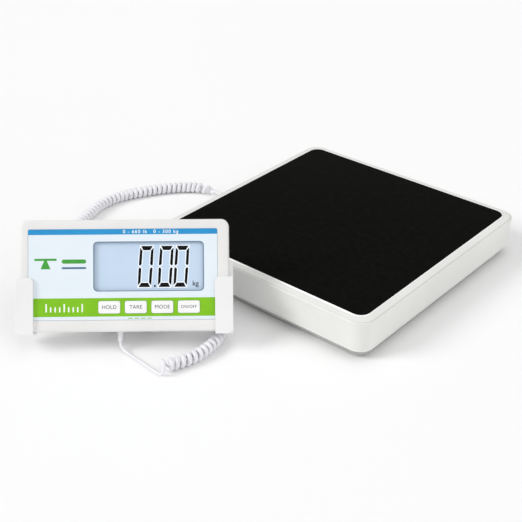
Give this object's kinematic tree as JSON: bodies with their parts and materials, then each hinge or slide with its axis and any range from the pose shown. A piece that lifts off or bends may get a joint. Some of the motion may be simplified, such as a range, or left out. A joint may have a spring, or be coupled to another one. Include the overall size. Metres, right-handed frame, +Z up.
{
  "type": "animal weighing scale",
  "caption": "Square floor scale with a black rubber mat on a white platform and a separate leaning indicator in a desk cradle, joined by a curly lead.",
  "frame": {"origin": "middle of the whole object's footprint on the floor, the lead left out, at floor level", "axes": "+Z up; +X and +Y along the platform's two sides, the indicator standing off the platform's -Y side and facing +X and -Y"},
  "size_m": [0.4612, 0.5233, 0.1224],
  "materials": {
    "cover_plastic": "moulded white ABS, semi-gloss",
    "mat_rubber": "fine-grained black rubber, matt",
    "zinc_steel": "zinc-plated sheet steel",
    "screw_steel": "bright zinc-plated steel",
    "tray_plastic": "moulded white ABS, fine texture",
    "cell_aluminium": "milled aluminium",
    "foot_rubber": "matt dark rubber",
    "circuit_board": "solder-masked glass fibre board",
    "standoff_brass": "turned brass",
    "wire_pvc": "thin insulated wire",
    "lead_pvc": "soft white PVC",
    "housing_plastic": "moulded white ABS, satin",
    "overlay_film": "printed polyester film, satin",
    "window_acrylic": "clear acrylic",
    "display_glass": "liquid crystal glass, pale blue",
    "backlight_acrylic": "milky acrylic light guide",
    "key_plastic": "moulded white key cap, satin",
    "black_plastic": "black moulded nylon",
    "cell_jacket": "plain wrapped dry cell",
    "contact_nickel": "nickel-plated spring steel",
    "cradle_plastic": "moulded white ABS, satin"
  },
  "bodies": {
    "base": {"base_tray": "tray_plastic", "base_frame": "zinc_steel", "base_screws": "screw_steel", "load_cell_front_left": "cell_aluminium", "load_cell_front_right": "cell_aluminium", "load_cell_back_left": "cell_aluminium", "load_cell_back_right": "cell_aluminium", "cell_spacers": "zinc_steel", "cell_screws": "screw_steel", "load_bumpers": "foot_rubber", "overload_stops": "zinc_steel", "junction_board": "circuit_board", "board_standoffs": "standoff_brass", "cell_leads": "wire_pvc", "signal_lead": "lead_pvc", "foot_front_left": "foot_rubber", "foot_front_right": "foot_rubber", "foot_back_left": "foot_rubber", "foot_back_right": "foot_rubber", "foot_screws": "screw_steel", "platform_gland": "lead_pvc", "cradle": "cradle_plastic", "hinge_pin": "screw_steel", "lead_tail": "lead_pvc", "curly_lead": "lead_pvc", "lead_end": "lead_pvc"},
    "platform_top": {"platform_cover": "cover_plastic", "platform_mat": "mat_rubber", "top_frame": "zinc_steel", "cover_screws": "screw_steel"},
    "indicator": {"indicator_front": "housing_plastic", "indicator_rear": "housing_plastic", "graphic_overlay": "overlay_film", "display_window": "window_acrylic", "display_glass": "display_glass", "display_backlight": "backlight_acrylic", "main_board": "circuit_board", "board_screws": "screw_steel", "key_switches": "black_plastic", "buzzer": "black_plastic", "battery_cells": "cell_jacket", "battery_contacts": "contact_nickel", "dc_inlet": "black_plastic", "housing_screws": "screw_steel", "indicator_strain_relief": "lead_pvc", "indicator_lead": "lead_pvc"},
    "key_hold": {"key_hold": "key_plastic"},
    "key_tare": {"key_tare": "key_plastic"},
    "key_mode": {"key_mode": "key_plastic"},
    "key_power": {"key_power": "key_plastic"},
    "battery_door": {"battery_door": "housing_plastic"},
    "stand_base": {"stand_base": "cradle_plastic", "stand_pads": "foot_rubber"}
  },
  "joints": [
    {"name": "platform_load", "type": "slide", "parent": "base", "child": "platform_top", "axis": [0, 0, -1], "range_m": [0, 0.0006], "stiffness_N_per_m": 60000, "springref_m": -0.001, "deforming": ["load_bumpers"]},
    {"name": "indicator_lift", "type": "slide", "parent": "base", "child": "indicator", "axis": [-0.3609, 0.4079, 0.8387], "range_m": [0, 0.06]},
    {"name": "key_hold_press", "type": "slide", "parent": "indicator", "child": "key_hold", "axis": [-0.5557, 0.6281, -0.5446], "range_m": [0, 0.0004], "stiffness_N_per_m": 2500, "springref_m": -0.0002},
    {"name": "key_tare_press", "type": "slide", "parent": "indicator", "child": "key_tare", "axis": [-0.5557, 0.6281, -0.5446], "range_m": [0, 0.0004], "stiffness_N_per_m": 2500, "springref_m": -0.0002},
    {"name": "key_mode_press", "type": "slide", "parent": "indicator", "child": "key_mode", "axis": [-0.5557, 0.6281, -0.5446], "range_m": [0, 0.0004], "stiffness_N_per_m": 2500, "springref_m": -0.0002},
    {"name": "key_power_press", "type": "slide", "parent": "indicator", "child": "key_power", "axis": [-0.5557, 0.6281, -0.5446], "range_m": [0, 0.0004], "stiffness_N_per_m": 2500, "springref_m": -0.0002},
    {"name": "battery_door_slide", "type": "slide", "parent": "indicator", "child": "battery_door", "axis": [-0.3609, 0.4079, 0.8387], "range_m": [0, 0.02]},
    {"name": "stand_fold", "type": "hinge", "parent": "base", "child": "stand_base", "pos_m": [-0.05422, -0.16258, 0.02238], "axis": [0.749, 0.6626, 0], "range_deg": [0, 57]}
  ]
}
